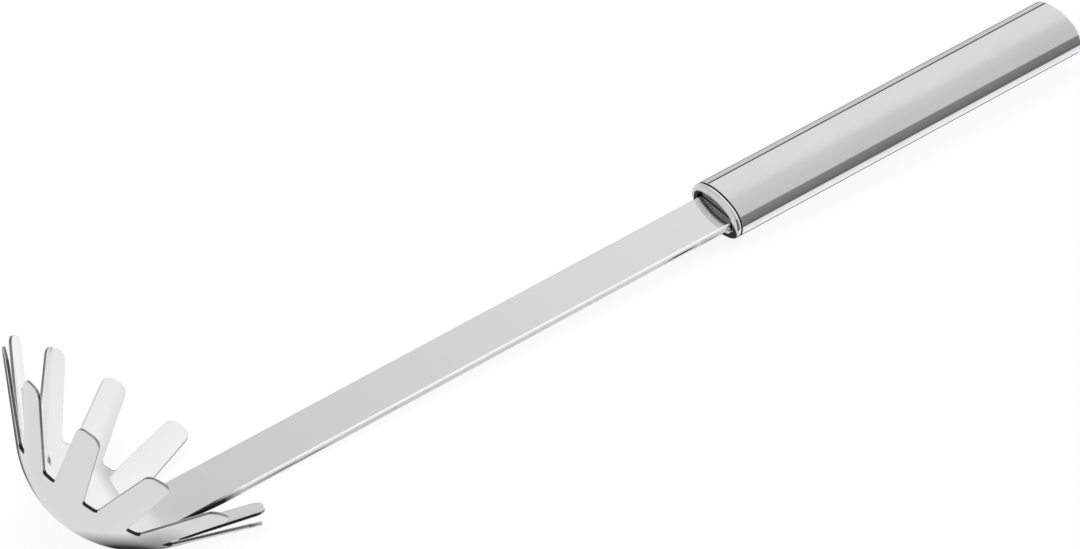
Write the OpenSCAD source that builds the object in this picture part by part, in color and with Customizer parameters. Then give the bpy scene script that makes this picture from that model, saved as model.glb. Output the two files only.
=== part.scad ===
// Pasta server: a pressed steel bowl with a ring of tines, on a flat stem
// that runs into a hollow oval handle. It lies on a table on the underside
// of its bowl and on the front edge of its handle.

/* [Sheet and stem] */
// Thickness of the thin sheet of the bowl and its tines
sheet_t = 1; // [0.8:0.05:1.4]
// Thickness of the flat stem
stem_t = 2.2; // [1.8:0.1:2.6]
// Length over which the stem thins down and dishes to join the bowl
taper_l = 15; // [10:1:25]
// Gap between an edge of the stem and the curled bead of the handle's mouth
stem_side_gap = 0.5; // [0.3:0.1:1.5]
// Length of the stem from the handle's mouth to below the bowl's centre
stem_l = 177; // [140:1:220]

/* [Bowl] */
// Inner radius of the dished bowl
bowl_r = 30.1; // [28:0.5:33]
// Angle between the bowl's axis and the upright of the stem
bowl_tilt = 49; // [44:1:54]

/* [Tines] */
// Places around the bowl, of which the stem takes one and tines the others
petal_count = 12; // [11:1:13]
// Length of a tine at the bowl's sides, from where the dish ends
tine_l = 25; // [20:0.5:30]
// How much longer the front tine is, and the rear ones shorter
front_reach = 1.2; // [0:0.1:2]
// Width of a tine at its root
tine_root_w = 8.9; // [7.6:0.1:9.4]
// Width of a tine at its tip
tine_tip_w = 6.9; // [6.2:0.1:7.6]
// Radius of the corners of a tine's tip
tip_corner_r = 2.5; // [1.5:0.1:2.9]
// Distance from the end of the dish to the bottom of the notches
notch_d = 1.5; // [1:0.1:2.5]
// Radius of the corners at the bottom of a notch
notch_corner_r = 0.7; // [0.4:0.1:0.8]

/* [Handle] */
// Length of the handle
handle_l = 120; // [100:1:140]
// Width of the oval handle
handle_w = 20.2; // [19.8:0.2:23]
// Height of the oval handle
handle_h = 13; // [12.8:0.1:14.4]
// Radius of the handle's narrow sides
handle_side_r = 5.6; // [5.3:0.1:5.8]
// Wall of the handle's tube
handle_wall = 0.9; // [0.7:0.1:1]
// Radius of the curled bead around the handle's mouth
rim_bead_r = 1.2; // [1:0.05:1.25]
// How far the stem runs below the middle of the handle
stem_drop = 0.4; // [0:0.1:0.6]

/* [Handle end] */
// Thickness of the end cap
cap_t = 2.4; // [2:0.2:4]
// Radius of the end cap's outer edge
cap_edge_r = 1.2; // [0.6:0.1:1.6]
// Depth of the spigot by which the end cap sits in the tube
cap_spigot_l = 4; // [3:0.5:8]

/* [Inside the handle] */
// How far the plug's face lies behind the front of the mouth
plug_recess = 1.5; // [1:0.1:2]
// Length of the plug behind the curled bead
plug_l = 7; // [5:0.5:12]
// Length of the tang inside the handle
tang_l = 48; // [40:1:70]
// Length of the block that carries the end of the tang
block_l = 14; // [10:1:20]
// How far the tang reaches past its block
tang_stub = 2; // [1:0.5:4]
// Diameter of the pin that locks the tang in its block
pin_d = 4; // [3:0.5:5]
// Clearance around what is pushed into place
fit_gap = 0.1; // [0.05:0.05:0.15]

/* [Hidden] */
$fn = 120;
// Overrun of a cut past the face it goes through
over = 1;
// How far the stem's start lies inside the sheet, and the sheet inside its sides
root_inset = 0.05;
// How far the corners of a tine's tip would run past its end
tip_overrun = 0.05;
// How far an arc bites past the line that it runs on from
arc_bite = 0.01;
half_t = sheet_t / 2;
half_stem_t = stem_t / 2;
pitch = 360 / petal_count;

// Depths below the handle's surface
bead_depth = 2 * rim_bead_r;
bore_depth = handle_wall + fit_gap;

// Width of the flat stem, which fills the handle's mouth
stem_w = handle_w - 2 * (bead_depth + stem_side_gap);

// Radii of the dish's middle and outer surfaces
bowl_mid_r = bowl_r + half_t;
bowl_out_r = bowl_r + sheet_t;
// Length of the cone that the tines are cut from
cone_l = tine_l + front_reach + sheet_t;

// Length of the tine at a place around the bowl, counted from the stem's
function petal_l(k) = tine_l - front_reach * cos(k * pitch);

// Half the depth of a cut that clears the curved sheet across a whole gap
cut_depth = sheet_t + (bowl_out_r + cone_l) * (1 - cos(pitch / 2));

// Half width of a tine, s along it from the end of the dish
tine_taper = (tine_root_w - tine_tip_w) / 2 / (tine_l - notch_d);
function tine_half_w(s) = tine_root_w / 2 - tine_taper * (s - notch_d);

// Distance of the tines' middle surface from the bowl's axis
function cone_mid_r(s) = bowl_mid_r * sin(bowl_tilt) + s * cos(bowl_tilt);

// A point of a tine's edge, seen in the plane of the gap beside it
function gap_x(s) = s - cos(bowl_tilt)
    * (cone_mid_r(s) * (1 - cos(pitch / 2)) - tine_half_w(s) * sin(pitch / 2));
function gap_y(s) = cone_mid_r(s) * sin(pitch / 2) - tine_half_w(s) * cos(pitch / 2);

// Slant of that edge, and the centre of the small corner at its bottom
gap_slant = atan2(gap_y(tine_l) - gap_y(notch_d), gap_x(tine_l) - gap_x(notch_d));
root_x = gap_x(notch_d) + notch_corner_r;
root_y = gap_y(notch_d) - notch_corner_r * (1 - sin(gap_slant)) / cos(gap_slant);

// Direction of a tine's end in the same plane, and the centre of the corner at
// the tip of a tine of length l
tip_turn = atan(cos(bowl_tilt) * tan(pitch / 2));
function tip_centre(l) =
    let(turn = gap_slant - tip_turn,
        back = (tip_corner_r * (1 - sin(turn)) - tip_overrun) / cos(turn))
    [gap_x(l), gap_y(l)] - back * [cos(gap_slant), sin(gap_slant)]
        + tip_corner_r * [-sin(gap_slant), cos(gap_slant)];

// The stem's root: half its thickness there, the radius to which its underside
// is dished, the rise of that arc at the stem's edges, and how far it dives
root_half_t = half_t - root_inset;
root_r = cone_mid_r(notch_d) / sin(bowl_tilt) + half_t;
root_rise = root_r - sqrt(pow(root_r, 2) - pow(stem_w / 2, 2));
root_dive = atan((half_stem_t - root_half_t + root_rise) / taper_l);

// The big arcs that close the oval's top and bottom
oval_side_x = handle_w / 2 - handle_side_r;
oval_big_r = (pow(oval_side_x, 2) + pow(handle_h / 2, 2) - pow(handle_side_r, 2))
    / (handle_h - 2 * handle_side_r);
oval_turn = asin(oval_side_x / (oval_big_r - handle_side_r));

// Places along the handle, from its mouth
tube_end_x = handle_l - cap_t;
plug_back_x = bead_depth + fit_gap + plug_l;
tang_end_x = tang_l;
block_x = tang_end_x - tang_stub - block_l;
pin_x = block_x + block_l / 2;

// The handle's middle above the middle of the stem
handle_z = stem_drop;

// The server leans on two circles in its middle plane: the bowl's outer one
// and the bead's, and the table is the line that touches both from below
bead_x = rim_bead_r;
bead_z = handle_z - handle_h / 2 + rim_bead_r;
lean_dx = bead_x + stem_l;
lean_dz = bowl_mid_r - bead_z;
lean = atan2(lean_dz, lean_dx)
    - asin((bowl_out_r - rim_bead_r) / norm([lean_dx, lean_dz]));

// Where the bowl's centre and the cap's upper edge come when it lies down
function lain_x(x, z) = x * cos(lean) - z * sin(lean);
function lain_z(x, z) = x * sin(lean) + z * cos(lean);
low_x = lain_x(-stem_l, bowl_mid_r) - bowl_out_r;
high_x = cap_edge_r + max(
    lain_x(handle_l - cap_edge_r, handle_z + handle_h / 2 - cap_edge_r),
    lain_x(handle_l - cap_edge_r, handle_z - handle_h / 2 + cap_edge_r));
mid_x = (low_x + high_x) / 2;
table_z = lain_z(-stem_l, bowl_mid_r) - bowl_out_r;

// Lays the server on the table, with the origin below its middle
module lay() {
    translate([-mid_x, 0, -table_z]) rotate([0, -lean, 0]) children();
}

// The handle's own place: x along it from its mouth, z up
module in_handle() {
    translate([0, 0, handle_z]) children();
}

// The bowl's own place: its axis along z, with the stem towards x
module in_bowl() {
    translate([-stem_l, 0, bowl_mid_r]) rotate([0, bowl_tilt, 0]) children();
}

// A place on the end of the dish: x out along a tine, z into the bowl
module at_petal(turn) {
    rotate([0, 0, turn])
        translate([bowl_mid_r * sin(bowl_tilt), 0, -bowl_mid_r * cos(bowl_tilt)])
            rotate([0, -bowl_tilt, 0])
                children();
}

// The handle's oval, drawn in by a depth
module oval(depth = 0) {
    r = handle_side_r - depth;
    big_r = oval_big_r - depth;
    half_h = handle_h / 2 - depth;
    for (side = [-1, 1]) translate([side * oval_side_x, 0]) circle(r);
    intersection() {
        translate([0, half_h - big_r]) circle(big_r);
        translate([0, big_r - half_h]) circle(big_r);
        square([2 * big_r * sin(oval_turn), 2 * big_r], center = true);
    }
}

// A length of the oval bar, drawn in by a depth
module oval_bar(from_x, to_x, depth = 0) {
    translate([from_x, 0, 0])
        rotate([90, 0, 90])
            linear_extrude(to_x - from_x)
                oval(depth);
}

// A ring with the child as its profile
module ring(ring_r) {
    rotate_extrude() translate([ring_r, 0]) children();
}

// The wedge in which the oval follows its narrow side
module side_wedge() {
    reach = 2 * handle_w;
    translate([0, 0, -over])
        linear_extrude(handle_l + 2 * over)
            polygon([[oval_side_x, 0],
                [oval_side_x + reach * sin(oval_turn), -reach * cos(oval_turn)],
                [oval_side_x + reach * sin(oval_turn), reach * cos(oval_turn)]]);
}

// Sweeps a profile round the oval, its x pointing outwards from the surface
module round_oval(at_x) {
    low = 3 * oval_big_r;
    translate([at_x, 0, 0]) rotate([90, 0, 90])
        for (flip = [0, 180]) rotate([0, 0, flip]) {
            intersection() {
                translate([oval_side_x, 0, 0]) ring(handle_side_r) children();
                side_wedge();
            }
            difference() {
                translate([0, handle_h / 2 - oval_big_r, 0]) ring(oval_big_r) children();
                side_wedge();
                mirror([1, 0, 0]) side_wedge();
                translate([-low, -low, -over]) cube([2 * low, low, handle_l + 2 * over]);
            }
        }
}

// Section of the dish and of the cone that its tines are cut from, with a strip
// inside the sheet that ties the two
module bowl_section() {
    reach = bowl_out_r + over;
    intersection() {
        difference() {
            circle(bowl_out_r);
            circle(bowl_r);
        }
        polygon([[0, 0], [0, -reach], [reach * tan(bowl_tilt / 2), -reach],
            [reach * sin(bowl_tilt), -reach * cos(bowl_tilt)]]);
    }
    translate([bowl_mid_r * sin(bowl_tilt), -bowl_mid_r * cos(bowl_tilt)]) rotate(bowl_tilt) {
        translate([0, -half_t]) square([cone_l, sheet_t]);
        translate([-half_t, -half_t / 2]) square([sheet_t, half_t]);
    }
}

// One edge of a gap, up a tine of length l and on past its rounded tip
function gap_edge(l) = let(c = tip_centre(l)) [
    [root_x - notch_corner_r, root_y],
    [root_x - notch_corner_r * sin(gap_slant), root_y + notch_corner_r * cos(gap_slant)],
    c + tip_corner_r * [sin(gap_slant), -cos(gap_slant)],
    c,
    c + cone_l * [cos(tip_turn), sin(tip_turn)]
];

// Outline of the gap between tines of lengths l1 and l2, with small corners at
// its bottom and round ones where the tines end
module gap_outline(l1, l2) {
    left = gap_edge(l2);
    right = [for (p = gap_edge(l1)) [p[0], -p[1]]];
    difference() {
        polygon(concat(left, [for (i = [len(right) - 1 : -1 : 0]) right[i]]));
        translate(tip_centre(l2)) circle(tip_corner_r + arc_bite);
        mirror([0, 1]) translate(tip_centre(l1)) circle(tip_corner_r + arc_bite);
    }
    for (side = [-1, 1])
        translate([root_x, side * root_y]) circle(notch_corner_r + arc_bite);
}

// Cuts square through the sheet, wherever it stands in its petal's place
module through_sheet(depth = cut_depth) {
    translate([0, 0, -depth]) linear_extrude(2 * depth) children();
}

// Cuts out the gap that follows petal k
module gap(k) {
    at_petal((k + 0.5) * pitch) through_sheet() gap_outline(petal_l(k), petal_l(k + 1));
}

// The stretch of the cone that stays below the stem
module stem_place(from_x, to_x, width) {
    at_petal(0) through_sheet(2 * cut_depth)
        translate([from_x, -width / 2]) square([to_x - from_x, width]);
}

// The bowl with its tines, and the dished root that the stem grows out of
module bowl() {
    root_l = taper_l + stem_t;
    difference() {
        rotate_extrude() bowl_section();
        for (k = [1 : petal_count - 2]) gap(k);
        for (k = [0, petal_count - 1]) difference() {
            gap(k);
            stem_place(0, root_l + over, stem_w - 2 * root_inset);
        }
        for (k = [1 : petal_count - 1])
            at_petal(k * pitch) through_sheet()
                translate([petal_l(k), -tine_root_w]) square([cone_l, 2 * tine_root_w]);
        stem_place(root_l, cone_l + over, stem_w + 2 * over);
    }
}

// The stem, thinned and dished on its underside where it leaves the bowl
module stem() {
    from_x = notch_d - over - stem_l;
    full_x = from_x + taper_l;
    translate([full_x, -stem_w / 2, -half_stem_t])
        cube([tang_end_x - full_x, stem_w, stem_t]);
    intersection() {
        translate([0, stem_w / 2, 0]) rotate([90, 0, 0]) linear_extrude(stem_w)
            polygon([[from_x, -root_half_t], [full_x, -half_stem_t],
                [full_x + over, -half_stem_t], [full_x + over, half_stem_t],
                [full_x, half_stem_t], [from_x, root_half_t]]);
        translate([from_x, 0, -root_half_t]) rotate([0, root_dive, 0])
            translate([-over, 0, root_r]) rotate([0, 90, 0])
                cylinder(r = root_r, h = taper_l + 3 * over);
    }
}

module bowl_and_stem() {
    color("gainsboro") lay() {
        in_bowl() bowl();
        difference() {
            stem();
            translate([pin_x, 0, -half_stem_t - over])
                cylinder(d = pin_d + 2 * fit_gap, h = stem_t + 2 * over);
        }
    }
}

module handle_tube() {
    color("silver") lay() in_handle() {
        round_oval(0) {
            translate([-handle_wall, rim_bead_r]) square([handle_wall, tube_end_x - rim_bead_r]);
            translate([-rim_bead_r, rim_bead_r]) circle(rim_bead_r);
        }
    }
}

module end_cap() {
    rim_depth = 2.5 * cap_edge_r;
    color("silver") lay() in_handle() {
        oval_bar(tube_end_x - cap_spigot_l, tube_end_x, bore_depth);
        oval_bar(tube_end_x, handle_l, rim_depth / 2);
        round_oval(tube_end_x) {
            translate([-cap_edge_r, cap_t - cap_edge_r]) circle(cap_edge_r);
            translate([-cap_edge_r, 0]) square([cap_edge_r, cap_t - cap_edge_r]);
            translate([-rim_depth, 0]) square([rim_depth - cap_edge_r, cap_t]);
        }
    }
}

// A slot that clears the stem, or with open ends splits what it goes through
module stem_slot(from_x, to_x, width) {
    translate([from_x, -width / 2, -stem_drop - half_stem_t - fit_gap])
        cube([to_x - from_x, width, stem_t + 2 * fit_gap]);
}

module mouth_plug() {
    nose_back_x = bead_depth + fit_gap + over;
    color("gray") lay() in_handle() difference() {
        union() {
            oval_bar(plug_recess, nose_back_x, bead_depth + fit_gap);
            oval_bar(bead_depth + fit_gap, plug_back_x, bore_depth);
        }
        stem_slot(plug_recess - over, plug_back_x + over, stem_w + 2 * fit_gap);
        stem_slot(plug_recess - over, bead_depth + fit_gap, handle_w);
    }
}

module tang_block() {
    color("dimgray") lay() in_handle() difference() {
        oval_bar(block_x, block_x + block_l, bore_depth);
        stem_slot(block_x - over, block_x + block_l + over, stem_w + 2 * fit_gap);
        translate([pin_x, 0, -handle_h / 2])
            cylinder(d = pin_d + fit_gap, h = handle_h);
    }
}

module lock_pin() {
    pin_l = handle_h - 2 * bore_depth;
    color("lightgray") lay() in_handle()
        translate([pin_x, 0, -pin_l / 2]) cylinder(d = pin_d, h = pin_l);
}

bowl_and_stem();
handle_tube();
end_cap();
mouth_plug();
tang_block();
lock_pin();
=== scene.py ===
# Pasta server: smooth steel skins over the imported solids
import math

import bpy
import numpy as np
from mathutils import Matrix, Vector


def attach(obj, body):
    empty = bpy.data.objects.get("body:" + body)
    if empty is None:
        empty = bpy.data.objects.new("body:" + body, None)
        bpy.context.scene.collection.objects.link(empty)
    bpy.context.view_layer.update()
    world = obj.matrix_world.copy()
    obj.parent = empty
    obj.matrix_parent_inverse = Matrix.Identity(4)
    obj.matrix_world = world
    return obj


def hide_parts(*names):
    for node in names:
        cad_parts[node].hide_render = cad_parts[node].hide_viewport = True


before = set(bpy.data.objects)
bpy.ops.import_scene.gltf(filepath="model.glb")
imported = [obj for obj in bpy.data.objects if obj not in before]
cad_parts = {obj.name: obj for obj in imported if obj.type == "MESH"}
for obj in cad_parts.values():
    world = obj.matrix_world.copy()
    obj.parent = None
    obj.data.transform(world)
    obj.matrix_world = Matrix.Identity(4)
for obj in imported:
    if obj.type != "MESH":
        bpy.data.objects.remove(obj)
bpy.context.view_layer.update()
scene = bpy.context.scene

# Sizes are in mm, in the server's own frame: x along the stem from the handle's
# mouth, z up from the stem's middle plane. Leant by LEAN, the server has its
# middle at MID_X and the table at TABLE_Z.
MM = 0.001
LEAN = math.radians(1.79523)
MID_X = -44.4383
TABLE_Z = -6.06

# The pressed sheet's thickness in the head, and how much its edges are rounded
SHEET_T = 1.0
EDGE = 0.18

# The dish, measured on the sheet's middle surface
BOWL_R = 30.6
TILT = math.radians(49)

# The ring of petals: eleven tines, and the stem in the first place. REACH is how
# much longer the front tine is than those at the sides.
PETALS = 12
TINE_L = 25.0
REACH = 1.2
TAPER_START = 1.5
ROOT_HALF_W = 4.45
TIP_HALF_W = 3.45
TIP_R = 2.5

# The gaps between them: how far above the dish they end, and their corners
NOTCH = 1.72
CORNER_R = 0.7
SLOT_CORNER_R = 0.4

# The stem, from where the dish ends to the mouth, and its tang in the handle
STEM_T = 2.2
STEM_L = 177.0
STEM_HALF_W = 7.2
STEM_EDGE = 0.45
TANG_L = 48.0
THICKEN_L = 15.0
FLATTEN_L = 16.0
FINE_ROWS_END = 24.0

# The handle's oval: two flat arcs of BIG_R that run over into sides of SIDE_R
HANDLE_L = 120.0
HANDLE_Z = 0.4
HALF_H = 6.5
SIDE_X = 4.5
SIDE_R = 5.6
BIG_R = (SIDE_X ** 2 + HALF_H ** 2 - SIDE_R ** 2) / (2 * (HALF_H - SIDE_R))

# Its wall, the bead round its mouth with a groove behind it, and its end cap.
# BEAD_END is the turn, in degrees, at which the bead's curl stops.
WALL = 0.9
BEAD_R = 1.2
BEAD_END = -310
GROOVE_W = 0.25
LIP_R = 0.06
CAP_T = 2.4
CAP_EDGE_R = 0.7
SPIGOT_L = 4.0
SPIGOT_DEPTH = WALL + 0.1

# How finely the surfaces are stepped
COLUMNS = 12
DISH_ROWS = 24
FOOT_ROWS = 5
GAP_STEPS = 3
CORNER_STEPS = 5
SIDE_ROWS = 21
TIP_STEPS = 9
EDGE_STEPS = 4
FINE_ROWS = 27
LONG_ROWS = 15
OVAL_SIDE_STEPS = 16
OVAL_FLAT_STEPS = 8
BEAD_STEPS = 59
LIP_STEPS = 4
TUBE_STEPS = 24
CAP_STEPS = 8

# Small steps for directions that are measured on a surface
NEAR = 1e-3
WIDER = 1e-2

SIN_T = math.sin(TILT)
COS_T = math.cos(TILT)
PITCH = 2 * math.pi / PETALS


def stack(*parts):
    return np.stack(np.broadcast_arrays(*[np.asarray(part, float) for part in parts]), -1)


def unit(vectors):
    return vectors / np.linalg.norm(vectors, axis=-1, keepdims=True)


def lean(vectors):
    x, y, z = np.moveaxis(vectors, -1, 0)
    c, s = math.cos(LEAN), math.sin(LEAN)
    return stack(x * c - z * s, y, x * s + z * c)


def lay(points):
    """Points of the server's own frame, laid on the table in metres."""
    return MM * (lean(points) - np.array([MID_X, 0, TABLE_Z]))


def ease(t):
    t = np.clip(t, 0, 1)
    return t * t * (3 - 2 * t)


class Skin:
    """Grids and flat ends with their own normals, welded into one mesh."""

    # Points in one cell of this size, in mm, become one. The shift, in cells,
    # keeps round sizes off the cells' borders.
    WELD = 2e-4
    WELD_START = 0.37

    def __init__(self):
        self.points, self.normals, self.faces, self.count = [], [], [], 0

    def put(self, points, normals):
        ids = self.count + np.arange(points[..., 0].size).reshape(points.shape[:-1])
        self.points.append(points.reshape(-1, 3))
        self.normals.append(np.broadcast_to(normals, points.shape).reshape(-1, 3))
        self.count += ids.size
        return ids

    def grid(self, points, normals, kind=0):
        """kind is one material for all faces, or one for each of them."""
        ids = self.put(points, normals)
        quads = np.stack([ids[:-1, :-1], ids[:-1, 1:], ids[1:, 1:], ids[1:, :-1]], -1)
        kinds = np.broadcast_to(kind, quads.shape[:2]).ravel().tolist()
        self.faces += list(zip(quads.reshape(-1, 4).tolist(), kinds))

    def end(self, points, normal):
        self.faces.append((self.put(points, normal).tolist(), 0))

    def build(self, name, materials, slot, *nodes):
        points, normals = np.concatenate(self.points), np.concatenate(self.normals)
        cells = np.round(points / self.WELD + self.WELD_START).astype(np.int64)
        _, first, same = np.unique(cells, axis=0, return_index=True, return_inverse=True)
        same = same.reshape(-1)
        faces, corners, kinds = [], [], []
        for ids, kind in self.faces:
            kept = [i for j, i in enumerate(ids) if same[i] != same[ids[j - 1]]]
            if len(kept) < 3:
                continue
            ring = points[kept]
            if np.cross(ring, np.roll(ring, -1, 0)).sum(0) @ normals[kept].sum(0) < 0:
                kept.reverse()
            faces.append([int(same[i]) for i in kept])
            corners += kept
            kinds.append(kind)
        mesh = bpy.data.meshes.new(name)
        mesh.from_pydata(lay(points[first]).tolist(), [], faces)
        mesh.polygons.foreach_set("material_index", kinds)
        mesh.polygons.foreach_set("use_smooth", [True] * len(faces))
        mesh.normals_split_custom_set(lean(unit(normals[corners])).tolist())
        for material in materials:
            mesh.materials.append(material)
        piece = bpy.data.objects.new(name, mesh)
        scene.collection.objects.link(piece)
        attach(piece, "root")
        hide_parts(*nodes)


def rim(skin, mid, out, up, half_t, edge_r, kind):
    """The rounded edge of a sheet along a border of its middle surface; kind is
    one material, or three for its upper corner, flat and lower corner."""
    half_t, edge_r = (np.broadcast_to(value, len(mid))[:, None] for value in (half_t, edge_r))
    out, up = (np.broadcast_to(vectors, mid.shape) for vectors in (out, up))
    points, normals = [], []
    for side in (1, -1):
        for a in np.linspace(0, math.pi / 2, EDGE_STEPS + 1)[::side]:
            rise = side * (half_t - edge_r + edge_r * math.cos(a))
            points.append(mid + out * edge_r * math.sin(a) + up * rise)
            normals.append(out * math.sin(a) + up * side * math.cos(a))
    upper, flat, lower = kind if isinstance(kind, tuple) else (kind,) * 3
    kinds = [upper] * EDGE_STEPS + [flat] + [lower] * EDGE_STEPS
    skin.grid(np.stack(points), np.stack(normals),
              np.stack([np.broadcast_to(each, len(mid) - 1) for each in kinds]))


# Nodes that the materials, the studio and the floor share

def material(name):
    made = bpy.data.materials.new(name)
    made.use_nodes = True
    return made, made.node_tree, made.node_tree.nodes["Principled BSDF"]


def add(tree, kind, *inputs, **settings):
    """A node with its inputs given in order: a value, or the socket that feeds it."""
    node = tree.nodes.new("ShaderNode" + kind)
    for key, value in settings.items():
        setattr(node, key, value)
    for socket, value in zip(node.inputs, inputs):
        if isinstance(value, bpy.types.NodeSocket):
            tree.links.new(value, socket)
        elif value is not None:
            socket.default_value = value
    return node


def local(tree):
    """A place in the server's own frame, in metres."""
    c, s = math.cos(LEAN), math.sin(LEAN)
    shift = (MM * (MID_X * c + TABLE_Z * s), 0, MM * (TABLE_Z * c - MID_X * s))
    return add(tree, "Mapping", add(tree, "TexCoord").outputs["Object"], shift,
               (0, LEAN, 0)).outputs[0]


def local_axes(tree):
    return add(tree, "SeparateXYZ", local(tree)).outputs


def noise(tree, scale, size=1.0, detail=4.0):
    """Noise in the server's own frame, with its metres stretched by scale."""
    moved = add(tree, "Mapping", local(tree), None, None, scale).outputs[0]
    return add(tree, "TexNoise", moved, None, size, detail).outputs[0]


def span(tree, value, low, high, to_low, to_high):
    return add(tree, "MapRange", value, low, high, to_low, to_high).outputs[0]


def maths(tree, operation, a, b=0.0):
    return add(tree, "Math", a, b, operation=operation).outputs[0]


def blend(tree, amount, a, b):
    """A mix of two colours, where a bare number stands for a grey."""
    a, b = ((v, v, v, 1) if isinstance(v, float) else v for v in (a, b))
    return add(tree, "MixRGB", amount, a, b).outputs[0]


def spread(tree, value, low, high):
    """Noise, which mostly lies between 0.3 and 0.7, drawn out from low to high."""
    return span(tree, value, 0.3, 0.7, low, high)


def band(tree, value, rise, fall, before=0, after=0):
    """1 between the two ranges over which it rises and falls again."""
    return maths(tree, "MINIMUM", span(tree, value, *rise, before, 1),
                 span(tree, value, *fall, 1, after))


# Steels, with places in metres: along the stem from the mouth, or above its middle

# How fine the grain is along x, y and z
ALONG = (90, 2600, 2600)
EVEN = (900, 900, 900)
ALL_ROUND = (1, 1, 1)
DRIFT_SIZE = 45.0
DRIFT_DETAIL = 3.0
GRAIN_DEPTH = 0.0001

# Where the head's painted brighter reflection fades, the root's painted black shade ends, the
# mouth's painted black shade starts and the plug's dark joint ends
HEAD_BRIGHTENED = (-0.195, -0.170)
ROOT_END = -0.155
MOUTH = (-0.0005, 0.0005)
JOINT = (0.0014, 0.0017)

# The streaks' grain, and the bands in which they show: where each rises, where it
# falls, and by the bowl how much shows before and after
STREAKS = (60, 60, 1500)
STREAK_LEVELS = (0.34, 0.44)
STREAK_HEIGHT = ((-0.0005, -0.0003), (0.0001, 0.0003))
STREAKS_BY_BOWL = ((-0.155, -0.134), (-0.131, -0.127), 0.2, 0.12)
STREAKS_BY_MOUTH = ((-0.024, -0.018), (-0.013, -0.010))


def finish(name, rough, grain, bump):
    """A steel with grain in its gloss and surface; its colour is still to come."""
    made, tree, shader = material(name)
    fine = noise(tree, grain)
    tree.links.new(spread(tree, fine, rough * 0.85, rough * 1.2), shader.inputs["Roughness"])
    raised = add(tree, "Bump", bump, GRAIN_DEPTH)
    tree.links.new(fine, raised.inputs["Height"])
    tree.links.new(raised.outputs[0], shader.inputs["Normal"])
    shader.inputs["Metallic"].default_value = 1.0
    return made, tree, shader


def drift(tree, low, high):
    return spread(tree, noise(tree, ALL_ROUND, DRIFT_SIZE, DRIFT_DETAIL), low, high)


def steel(name, dark, light, rough, grain, bump):
    """A steel whose grey drifts softly between two levels."""
    made, tree, shader = finish(name, rough, grain, bump)
    tree.links.new(blend(tree, drift(tree, 0, 1), dark, light), shader.inputs["Base Color"])
    return made


def pressed_steel():
    """The pressed sheet, paler in the head as a painted brighter reflection, with a soft random
    drift in tone.
    """
    made, tree, shader = finish("pressed_steel", rough=0.07, grain=ALONG, bump=0.01)
    # Painted brighter reflection: the base colour is paler towards the head's far end
    painted_brightness_and_drift = span(tree, local_axes(tree)[0], *HEAD_BRIGHTENED, 1.0, 0.2)
    painted_brightness_and_drift = maths(tree, "ADD", painted_brightness_and_drift, drift(tree, -0.1, 0.1))
    tree.links.new(blend(tree, painted_brightness_and_drift, 0.85, 0.95), shader.inputs["Base Color"])
    return made


def painted_shade_at_ends(tree, x, root_start):
    """Painted shade: 1 at the stem's root, where it meets the bowl, and inside the mouth."""
    return maths(tree, "MAXIMUM", span(tree, x, root_start, ROOT_END, 1, 0),
                 span(tree, x, *MOUTH, 0, 1))


def stem_side_steel():
    """The stem's sheared side: dark streaks along its middle, and painted black shade at both
    ends.
    """
    made, tree, shader = finish("stem_side_steel", rough=0.18, grain=EVEN, bump=0.05)
    x, _, z = local_axes(tree)
    streak = span(tree, noise(tree, STREAKS), *STREAK_LEVELS, 0, 1)
    streak = maths(tree, "MULTIPLY", streak, band(tree, z, *STREAK_HEIGHT))
    places = maths(tree, "MAXIMUM", band(tree, x, *STREAKS_BY_BOWL),
                   band(tree, x, *STREAKS_BY_MOUTH))
    marks = maths(tree, "MULTIPLY", streak, places)
    # The streaks are marks on the side; the black at both ends is painted shade
    dark = maths(tree, "MAXIMUM", marks, painted_shade_at_ends(tree, x, root_start=-0.161))
    tree.links.new(blend(tree, dark, 0.92, 0.03), shader.inputs["Base Color"])
    return made


def painted_glint_steel():
    """A painted highlight on the stem's upper corner: near-white and matt, it catches the light
    from all round.
    """
    made, tree, shader = finish("painted_glint_steel", rough=0.6, grain=EVEN, bump=0.05)
    shader.inputs["Metallic"].default_value = 0.1
    # Black at the root and inside the mouth, as painted shade
    dark = painted_shade_at_ends(tree, local_axes(tree)[0], root_start=-0.164)
    tree.links.new(blend(tree, dark, 0.93, 0.05), shader.inputs["Base Color"])
    return made


def plug_steel():
    """The plug's face, dark where it meets the stem."""
    made, tree, shader = finish("plug_steel", rough=0.35, grain=EVEN, bump=0.0)
    height = maths(tree, "ABSOLUTE", local_axes(tree)[2])
    tree.links.new(blend(tree, span(tree, height, *JOINT, 1, 0), 0.20, 0.01),
                   shader.inputs["Base Color"])
    return made


brushed = steel("handle_steel", dark=0.82, light=0.86, rough=0.05, grain=ALONG, bump=0.01)
# Near-black steel: painted shade in the notches between the petals and in the handle's groove
painted_shade_steel = steel("painted_shade_steel", dark=0.02, light=0.05, rough=0.30, grain=EVEN, bump=0.2)
# Dark grey steel on the tines' cut edges: painted shade; the two far tines' bright front edges
# keep the pressed steel
shaded_rim_steel = steel("shaded_cut_rim_steel", dark=0.22, light=0.32, rough=0.10, grain=EVEN, bump=0.02)
inner = steel("inner_steel", dark=0.50, light=0.60, rough=0.45, grain=EVEN, bump=0.3)


# Head: a dish that runs over into a cone, with w across a petal and s along it

def cone_r(s):
    return BOWL_R * SIN_T + s * COS_T


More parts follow.
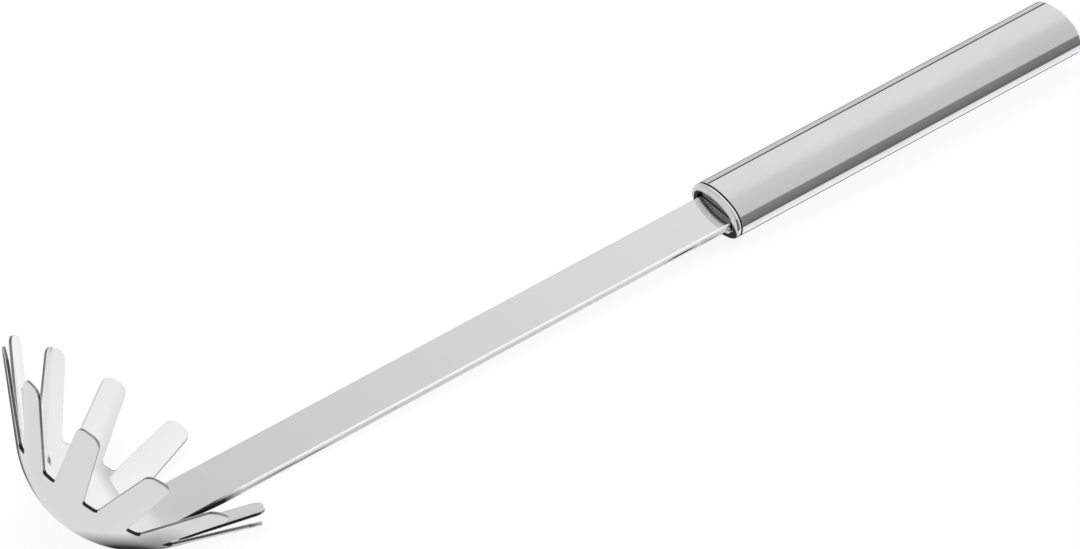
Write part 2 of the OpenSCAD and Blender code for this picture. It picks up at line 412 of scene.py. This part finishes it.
def at(phi, s):
    """The head's middle surface, s along it from where the dish ends: the place,
    and the directions along it, across it and up out of it."""
    bow = TILT + np.minimum(s, 0) / BOWL_R
    cone = np.maximum(s, 0)
    r = BOWL_R * np.sin(bow) + cone * COS_T
    z = cone * SIN_T - BOWL_R * np.cos(bow)
    c, d = np.cos(phi), np.sin(phi)

    def turned(x, y, z):
        return stack(x * COS_T + z * SIN_T, y, z * COS_T - x * SIN_T)

    return (turned(r * c, r * d, z) + np.array([-STEM_L, 0, BOWL_R]),
            turned(np.cos(bow) * c, np.cos(bow) * d, np.sin(bow)),
            turned(-d, c, 0 * d),
            turned(-np.sin(bow) * c, -np.sin(bow) * d, np.cos(bow)))


def tine_half_w(s):
    return ROOT_HALF_W - (ROOT_HALF_W - TIP_HALF_W) * (s - TAPER_START) / (TINE_L - TAPER_START)


def stem_half_w(s):
    return STEM_HALF_W


# How far a tine's sides slant, and where the gap beside the stem has its middle
SLANT = math.atan((ROOT_HALF_W - TIP_HALF_W) / (TINE_L - TAPER_START))
SLOT = (math.asin(STEM_HALF_W / cone_r(NOTCH)) + PITCH
        - math.asin(tine_half_w(NOTCH) / cone_r(NOTCH))) / 2


def petal_side(half_w, slant, corner_r, gap):
    """One side of a petal's foot, from the middle of the gap beside it up to
    where its edge runs straight: w, s and the way out of the sheet."""
    low = NOTCH - EDGE
    centre_s = NOTCH + corner_r
    centre_w = half_w(centre_s) + corner_r / math.cos(slant)
    outer_r = corner_r + EDGE
    turn = np.linspace(gap, math.asin(centre_w / cone_r(low)), GAP_STEPS + 1)[:-1]
    a = np.linspace(1.5 * math.pi, math.pi + slant, CORNER_STEPS + 1)
    return np.concatenate([
        stack(cone_r(low) * np.sin(turn), low, 0, 1),
        stack(centre_w + outer_r * np.cos(a), centre_s + outer_r * np.sin(a),
              -np.cos(a), -np.sin(a))])


def stem_foot():
    return petal_side(stem_half_w, 0, SLOT_CORNER_R, SLOT)


def tine_side(foot, length):
    """The rest of a tine's side, up to the flat of its tip."""
    centre_s = length - TIP_R
    centre_w = tine_half_w(centre_s) - TIP_R / math.cos(SLANT)
    tip_r = TIP_R - EDGE
    a = np.linspace(SLANT, math.pi / 2, TIP_STEPS + 1)
    tip = stack(centre_w + tip_r * np.cos(a), centre_s + tip_r * np.sin(a),
                np.cos(a), np.sin(a))
    t = np.linspace(0, 1, SIDE_ROWS + 1)[1:-1, None]
    return np.concatenate([foot[-1] * (1 - t) + tip[0] * t, tip])


def mirrored(side):
    return side * np.array([-1, 1, -1, 1])


def between(a, b, count):
    t = np.linspace(0, 1, count + 1)
    return a[..., None, :] * (1 - t)[:, None] + b[..., None, :] * t[:, None]


def border(path, turn):
    """Middle points, ways out and ways up along a petal's border."""
    w, s, out_w, out_s = path.T
    off = np.arcsin(w / cone_r(s))
    mid, along, across, up = at(turn + off, s)
    step_w = across / np.cos(off)[:, None]
    step_s = along - across * (COS_T * np.tan(off))[:, None]
    out = unit(np.cross(out_w[:, None] * step_s - out_s[:, None] * step_w, up))
    wanted = (out * (out_w[:, None] * across + out_s[:, None] * along)).sum(-1)
    return mid, out * np.sign(wanted)[:, None], up


def both_faces(skin, phi, s):
    mid, _, _, up = at(np.broadcast_to(phi, s.shape), s)
    for face in (1, -1):
        skin.grid(mid + face * up * SHEET_T / 2, face * up)


# The head's materials, in the order in which build_head lists them
PRESSED, NOTCHED, SIDE, RIM, PAINTED_GLINT = range(5)


def add_petal(head, k):
    """One petal's share of the dish, and its tine if it isn't the stem's."""
    if k == 0:
        sides = [stem_foot(), stem_foot()]
    else:
        # The tines beside the stem have a narrower gap on that side
        plan = [(SLOT_CORNER_R, PITCH - SLOT) if near else (CORNER_R, PITCH / 2)
                for near in (k == 1, k == PETALS - 1)]
        sides = [petal_side(tine_half_w, SLANT, corner_r, gap) for corner_r, gap in plan]
    left, right = mirrored(sides[0]), sides[1]
    row = between(left[-1], right[-1], COLUMNS)
    foot = np.concatenate([left, row[1:-1], right[::-1]])
    dish = np.linspace(-BOWL_R * TILT, 0, DISH_ROWS + 1)[:-1]
    rows = np.concatenate([np.repeat(dish[:, None], len(foot), 1),
                           np.linspace(0, 1, FOOT_ROWS + 1)[:, None] * foot[:, 1]])
    both_faces(head, k * PITCH + np.arcsin(foot[:, 0] / cone_r(foot[:, 1])), rows)
    if k > 0:
        add_tine(head, k, sides)


def add_tine(head, k, sides):
    """A tine above its foot, and the rim all round it."""
    turn = k * PITCH
    length = TINE_L - REACH * math.cos(turn)
    left, right = mirrored(sides[0]), sides[1]
    lefts = mirrored(tine_side(sides[0], length))
    rights = tine_side(sides[1], length)
    plane = between(np.concatenate([left[-1:], lefts]),
                    np.concatenate([right[-1:], rights]), COLUMNS)
    w, s = plane[..., 0], plane[..., 1]
    both_faces(head, turn + np.arcsin(w / cone_r(s)), s)
    top = plane[-1, 1:-1] * np.array([1, 1, 0, 0]) + np.array([0, 0, 0, 1])
    path = np.concatenate([left, lefts, top, rights[::-1], right[::-1]])
    kinds = np.full(len(path) - 1, RIM)
    kinds[:len(left) - 1] = kinds[1 - len(left):] = NOTCHED
    if k < 3:
        # The two far tines beside the stem show a bright edge on their front side
        kinds[len(left) + len(lefts):1 - len(left)] = PRESSED
    corners = np.where(kinds == NOTCHED, NOTCHED, PRESSED)
    rim(head, *border(path, turn), SHEET_T / 2, EDGE, (corners, kinds, corners))


# Stem: curved like the cone at its foot, then flat and thicker

STEM_START = NOTCH + SLOT_CORNER_R


def stem_mid(w, s):
    fade = 1 - ease((s - STEM_START) / FLATTEN_L)
    sag = fade * cone_r(s) * (1 - np.sqrt(1 - np.square(w / cone_r(s))))
    return stack(s - STEM_L - sag * COS_T, w, sag * SIN_T)


def stem_half_t(s):
    return (SHEET_T + (STEM_T - SHEET_T) * ease((s - STEM_START) / THICKEN_L)) / 2


def stem_edge(s):
    return EDGE + (STEM_EDGE - EDGE) * ease((s - STEM_START) / THICKEN_L)


def square_to(surface, w, s, step):
    return unit(np.cross(surface(w, s + step) - surface(w, s - step),
                         surface(w + step, s) - surface(w - step, s)))


def stem_face(side):
    return lambda w, s: (stem_mid(w, s) + side * stem_half_t(s)[..., None]
                         * square_to(stem_mid, w, s, NEAR))


def add_stem(head):
    """The stem, from the foot of petal 0 to the end of its tang."""
    stop = STEM_L + TANG_L - STEM_EDGE
    s = np.concatenate([np.linspace(STEM_START, FINE_ROWS_END, FINE_ROWS + 1)[:-1],
                        np.linspace(FINE_ROWS_END, stop, LONG_ROWS + 1)])
    w = (STEM_HALF_W - stem_edge(s))[:, None] * np.linspace(-1, 1, COLUMNS + 1)
    rows = np.broadcast_to(s[:, None], w.shape)
    for face in (1, -1):
        surface = stem_face(face)
        head.grid(surface(w, rows), face * square_to(surface, w, rows, WIDER))
    for side_y in (1, -1):
        add_stem_side(head, s, side_y)
    rim(head, stem_mid(w[-1], rows[-1]), np.array([1, 0, 0]), np.array([0, 0, 1]),
        STEM_T / 2, STEM_EDGE, SIDE)


def add_stem_side(head, s, side_y):
    """One side of the stem: its foot, its length and the corner of its tang."""
    foot = stem_foot() if side_y > 0 else mirrored(stem_foot())
    rim(head, *border(foot, 0), SHEET_T / 2, EDGE, NOTCHED)
    edge_w = side_y * (STEM_HALF_W - stem_edge(s))
    up = square_to(stem_mid, edge_w, s, NEAR)
    out = np.array([0, side_y, 0]) - side_y * up[:, 1:2] * up
    # The near side's upper corner carries the painted highlight; the far side's keeps the
    # pressed steel
    rim(head, stem_mid(edge_w, s), unit(out), up, stem_half_t(s), stem_edge(s),
        (PAINTED_GLINT if side_y < 0 else PRESSED, SIDE, SIDE))
    a = np.linspace(0, math.pi / 2, EDGE_STEPS + 1)
    corner = np.repeat(stem_mid(edge_w[-1:], s[-1:]), len(a), 0)
    rim(head, corner, stack(np.sin(a), side_y * np.cos(a), 0), np.array([0, 0, 1]),
        STEM_T / 2, STEM_EDGE, SIDE)


def build_head():
    head = Skin()
    for k in range(PETALS):
        add_petal(head, k)
    add_stem(head)
    materials = [pressed_steel(), painted_shade_steel, stem_side_steel(), shaded_rim_steel, painted_glint_steel()]
    head.build("pressed_bowl_and_stem", materials, "pressed_steel", "bowl_and_stem")


build_head()


# Handle: profiles of x and depth below the surface, swept round its oval

def oval(out, depth):
    """A point of the handle's oval whose outward direction is the angle out."""
    c, s = np.cos(out), np.sin(out)
    big = np.abs(c) < SIDE_X / (BIG_R - SIDE_R)
    r = np.where(big, BIG_R, SIDE_R) - depth
    return (np.where(big, 0, np.sign(c) * SIDE_X) + r * c,
            np.where(big, np.sign(s) * (HALF_H - BIG_R), 0) + r * s + HANDLE_Z)


def ways_round():
    """The outward directions of the oval's points, once round it."""
    change = math.pi / 2 - math.asin(SIDE_X / (BIG_R - SIDE_R))
    quarter = np.concatenate([np.linspace(0, change, OVAL_SIDE_STEPS + 1)[:-1],
                              np.linspace(change, math.pi / 2, OVAL_FLAT_STEPS + 1)])
    half = np.concatenate([quarter[:-1], math.pi - quarter[::-1]])
    return np.concatenate([half[:-1], math.pi + half])


AROUND = ways_round()


def loft(skin, profile, kind=0):
    """Sweeps rows of x, depth and outward direction (along x, outwards) round the oval."""
    x, depth, along, outward = (np.array(row, float)[:, None] for row in zip(*profile))
    out = AROUND[None, :]
    y, z = oval(out, depth)
    normals = stack(along, outward * np.cos(out), outward * np.sin(out))
    skin.grid(stack(x, y, z), normals, kind)


def flat_end(skin, x, depth, along):
    y, z = oval(AROUND[:-1], depth)
    skin.end(stack(x, y, z), np.array([along, 0, 0]))


def arc(x, depth, r, start, stop, steps):
    """Profile rows round a centre; the angle is the outward direction from +x."""
    return [(x + r * math.cos(a), depth - r * math.sin(a), math.cos(a), math.sin(a))
            for a in np.radians(np.linspace(start, stop, steps + 1))]


TUBE_END = HANDLE_L - CAP_T

# The tube's second material, in the groove: near-black painted shade
GROOVED = 1


def build_handle_tube():
    """The tube: its inside, its bead, the groove behind that, painted black as shade, and its
    outside.
    """
    tube = Skin()
    inside = math.degrees(math.asin((BEAD_R - WALL) / BEAD_R))
    bead = arc(BEAD_R, BEAD_R, BEAD_R, inside, BEAD_END, BEAD_STEPS)
    start_x = bead[0][0]
    bead_x, bead_depth = bead[-1][:2]
    groove_x = bead_x + GROOVE_W
    loft(tube, [(TUBE_END, WALL, 0, -1), (start_x, WALL, 0, -1)])
    loft(tube, bead)
    loft(tube, [(bead_x, bead_depth, 0, 1), (groove_x, bead_depth, 0, 1)], GROOVED)
    loft(tube, [(groove_x, bead_depth, -1, 0), (groove_x, LIP_R, -1, 0)], GROOVED)
    loft(tube, arc(groove_x + LIP_R, LIP_R, LIP_R, 180, 90, LIP_STEPS))
    loft(tube, [(x, 0, 0, 1) for x in np.linspace(groove_x + LIP_R, TUBE_END, TUBE_STEPS + 1)])
    loft(tube, [(TUBE_END, 0, 1, 0), (TUBE_END, WALL, 1, 0)])
    tube.build("handle_shell", [brushed, painted_shade_steel], "handle_steel", "handle_tube")


def build_end_cap():
    """The cap: its spigot in the tube, its shoulder, its side and its rounded end."""
    cap = Skin()
    spigot_end, edge_x = TUBE_END - SPIGOT_L, HANDLE_L - CAP_EDGE_R
    flat_end(cap, spigot_end, SPIGOT_DEPTH, -1)
    loft(cap, [(spigot_end, SPIGOT_DEPTH, 0, 1), (TUBE_END, SPIGOT_DEPTH, 0, 1)])
    loft(cap, [(TUBE_END, SPIGOT_DEPTH, -1, 0), (TUBE_END, 0, -1, 0)])
    loft(cap, [(TUBE_END, 0, 0, 1), (edge_x, 0, 0, 1)])
    loft(cap, arc(edge_x, CAP_EDGE_R, CAP_EDGE_R, 90, 0, CAP_STEPS))
    flat_end(cap, HANDLE_L, CAP_EDGE_R, 1)
    cap.build("handle_end_cap", [brushed], "handle_steel", "end_cap")


build_handle_tube()
build_end_cap()

# The plug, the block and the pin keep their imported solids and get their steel
for name, coat in (("mouth_plug", plug_steel()), ("tang_block", inner), ("lock_pin", inner)):
    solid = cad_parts[name]
    solid.data.materials.clear()
    solid.data.materials.append(coat)


# Camera, as fitted to the photograph: places in metres, lens and sensor in mm

EYE = Vector((-0.549158, -0.819973, 0.85072))
AIM = Vector((-0.002251, 0.014904, 0))
ROLL = math.radians(-3.7578)
LENS = 164.58
SENSOR = 36
FAR = 20


def set_camera():
    camera = bpy.data.objects.new("camera", bpy.data.cameras.new("camera"))
    scene.collection.objects.link(camera)
    scene.camera = camera
    camera.data.lens = LENS
    camera.data.sensor_width = SENSOR
    camera.data.clip_end = FAR
    ahead = (AIM - EYE).normalized()
    level = ahead.cross(Vector((0, 0, 1))).normalized()
    right = level * math.cos(ROLL) + level.cross(ahead) * math.sin(ROLL)
    stand = Matrix((right, right.cross(ahead), -ahead)).transposed().to_4x4()
    stand.translation = EYE
    camera.matrix_world = stand


set_camera()


# Studio as the steel sees it. Each panorama is a list of greys, by the turn in
# degrees about the server's length from the near side up. Rays that point away
# from the handle's end meet the first, rays a little towards it the second, and
# rays further towards it the third.

BY_TIPS = ((-180, 0.74), (-140, 0.745), (-120, 0.72), (-108, 0.735), (-98, 0.72),
           (-85, 0.755), (-50, 0.755), (-45, 0.12), (0, 0.06), (18, 0.06), (26, 0.4),
           (110, 0.5), (150, 0.6), (180, 0.74))
BY_HEAD = ((-180, 0.74), (-146, 0.74), (-142, 0.12), (-136, 0.12), (-132, 0.73), (-50, 0.78),
           (-47, 0.65), (-43, 0.15), (15, 0.25), (24, 0.62), (80, 0.70), (115, 0.68),
           (135, 0.66), (163, 0.66), (180, 0.74))
BY_HANDLE = ((-180, 0.66), (-165, 0.60), (-157, 0.12), (-106, 0.12), (-99, 0.95),
             (-90, 1.0), (-60, 0.93), (-48, 0.87), (-45, 0.82), (-40, 0.14), (-36, 0.14),
             (-22, 0.19), (0, 0.225), (19, 0.25), (24, 0.62), (35, 0.63), (80, 0.64),
             (100, 0.68), (112, 0.80), (125, 0.83), (163, 0.83), (164, 0.04), (167.5, 0.04),
             (168.5, 0.67), (180, 0.66))

# Where one gives way to the next, by how far a ray points along x
TO_HEAD = (-0.08, 0.04)
TO_HANDLE = (0.29, 0.42)
TO_END = (0.52, 0.70)
TO_TIPS_END = (-0.5, -0.35)

# The greys past the handle's end, by x again, past the tips, and of the light on
# what isn't a mirror
END_X = (0.7, 0.95)
END_GREYS = (0.96, 0.90)
TIPS_END_GREY = 0.72
ROOM_GREY = 0.8


def panorama(tree, turn, stops):
    ramp = add(tree, "ValToRGB", turn)
    elements = ramp.color_ramp.elements
    while len(elements) < len(stops):
        elements.new(0.5)
    for element, (degrees, value) in zip(elements, stops):
        element.position = (degrees + 180) / 360
        element.color = (value, value, value, 1)
    return ramp.outputs[0]


def set_world():
    world = bpy.data.worlds.new("studio")
    scene.world = world
    world.use_nodes = True
    tree = world.node_tree
    way = add(tree, "TexCoord").outputs["Generated"]
    x, y, z = add(tree, "SeparateXYZ", way).outputs
    turn = maths(tree, "ARCTAN2", z, maths(tree, "MULTIPLY", y, -1.0))
    turn = span(tree, turn, -math.pi, math.pi, 0, 1)
    seen = blend(tree, span(tree, x, *TO_HEAD, 0, 1), panorama(tree, turn, BY_TIPS),
                 panorama(tree, turn, BY_HEAD))
    seen = blend(tree, span(tree, x, *TO_HANDLE, 0, 1), seen, panorama(tree, turn, BY_HANDLE))
    seen = blend(tree, span(tree, x, *TO_END, 0, 1), seen, span(tree, x, *END_X, *END_GREYS))
    seen = blend(tree, span(tree, x, *TO_TIPS_END, 1, 0), seen, TIPS_END_GREY)
    rays = add(tree, "LightPath").outputs
    lit = blend(tree, rays["Is Glossy Ray"], ROOM_GREY, seen)
    tree.links.new(blend(tree, rays["Is Camera Ray"], lit, 1.0),
                   tree.nodes["Background"].inputs[0])


set_world()


# Lamps, in metres and watts

LAMP_AT = (0.1, 0.2, 1.5)
LAMP_SIZE = 1.0
LAMP_POWER = 8
PANEL_AT = (-0.020, 0.035, 0.25)
PANEL_X = 0.07
PANEL_Y = 0.15


def add_lamp(name, place, power):
    lamp = bpy.data.objects.new(name, bpy.data.lights.new(name, "AREA"))
    scene.collection.objects.link(lamp)
    lamp.location = place
    lamp.data.energy = power
    return lamp


lamp = add_lamp("lamp", LAMP_AT, LAMP_POWER)
lamp.data.size = LAMP_SIZE
lamp.visible_glossy = False

# A small bright panel over the bowl, for the tines' inner faces only
panel = add_lamp("panel", PANEL_AT, PANEL_X * PANEL_Y)
panel.data.shape = "RECTANGLE"
panel.data.size = PANEL_X
panel.data.size_y = PANEL_Y
panel.visible_diffuse = False


# Floor, in metres

FLOOR_HALF = 4
FLOOR_WHITE = 0.9
PAPER_NOISE = 8.0

# The steel sees through the floor to the studio, but for two painted contact shadows where
# the server all but touches it: under the bowl and under the mouth. Each has its x, y, half
# width and half depth, and the share of those that is darkest.
PAINTED_SHADOWS = ((-0.147, -0.010, 0.018, 0.020, 0.3), (0.041, 0.001, 0.010, 0.014, 0.8))
SHADOW_DARKEST = 0.05


def open_floor(tree):
    """How much of the studio shows through the floor for glossy rays, less in the painted
    contact shadows.
    """
    place = add(tree, "TexCoord").outputs["Object"]
    clear = 1.0
    for x, y, wide, deep, core in PAINTED_SHADOWS:
        near = add(tree, "Mapping", place, (-x / wide, -y / deep, 0), None,
                   (1 / wide, 1 / deep, 1)).outputs[0]
        away = add(tree, "VectorMath", near, operation="LENGTH").outputs["Value"]
        clear = maths(tree, "MULTIPLY", clear, span(tree, away, core, 1.0, SHADOW_DARKEST, 1.0))
    return clear


def floor_paper():
    """White paper for the camera, and for glossy rays only its painted contact shadows."""
    made, tree, shader = material("floor_paper")
    tree.links.new(blend(tree, noise(tree, ALL_ROUND, PAPER_NOISE), 0.93, 0.95),
                   shader.inputs["Base Color"])
    shader.inputs["Roughness"].default_value = 0.9
    rays = add(tree, "LightPath").outputs
    glow = add(tree, "Emission", (1, 1, 1, 1), 1.0).outputs[0]
    white = maths(tree, "MULTIPLY", rays["Is Camera Ray"], FLOOR_WHITE)
    paper = add(tree, "MixShader", white, shader.outputs[0], glow).outputs[0]
    clear = add(tree, "BsdfTransparent").outputs[0]
    # Black for the painted contact shadows that glossy rays see
    dark = add(tree, "Emission", (0, 0, 0, 1), 0.0).outputs[0]
    mirror = add(tree, "MixShader", open_floor(tree), dark, clear).outputs[0]
    mixed = add(tree, "MixShader", rays["Is Glossy Ray"], paper, mirror).outputs[0]
    tree.links.new(mixed, tree.nodes["Material Output"].inputs[0])
    return made


floor_mesh = bpy.data.meshes.new("floor")
floor_mesh.from_pydata([(-FLOOR_HALF, -FLOOR_HALF, 0), (FLOOR_HALF, -FLOOR_HALF, 0),
                        (FLOOR_HALF, FLOOR_HALF, 0), (-FLOOR_HALF, FLOOR_HALF, 0)],
                       [], [(0, 1, 2, 3)])
floor_mesh.materials.append(floor_paper())
floor = bpy.data.objects.new("floor", floor_mesh)
scene.collection.objects.link(floor)

scene.view_settings.view_transform = "Standard"
bpy.context.view_layer.update()
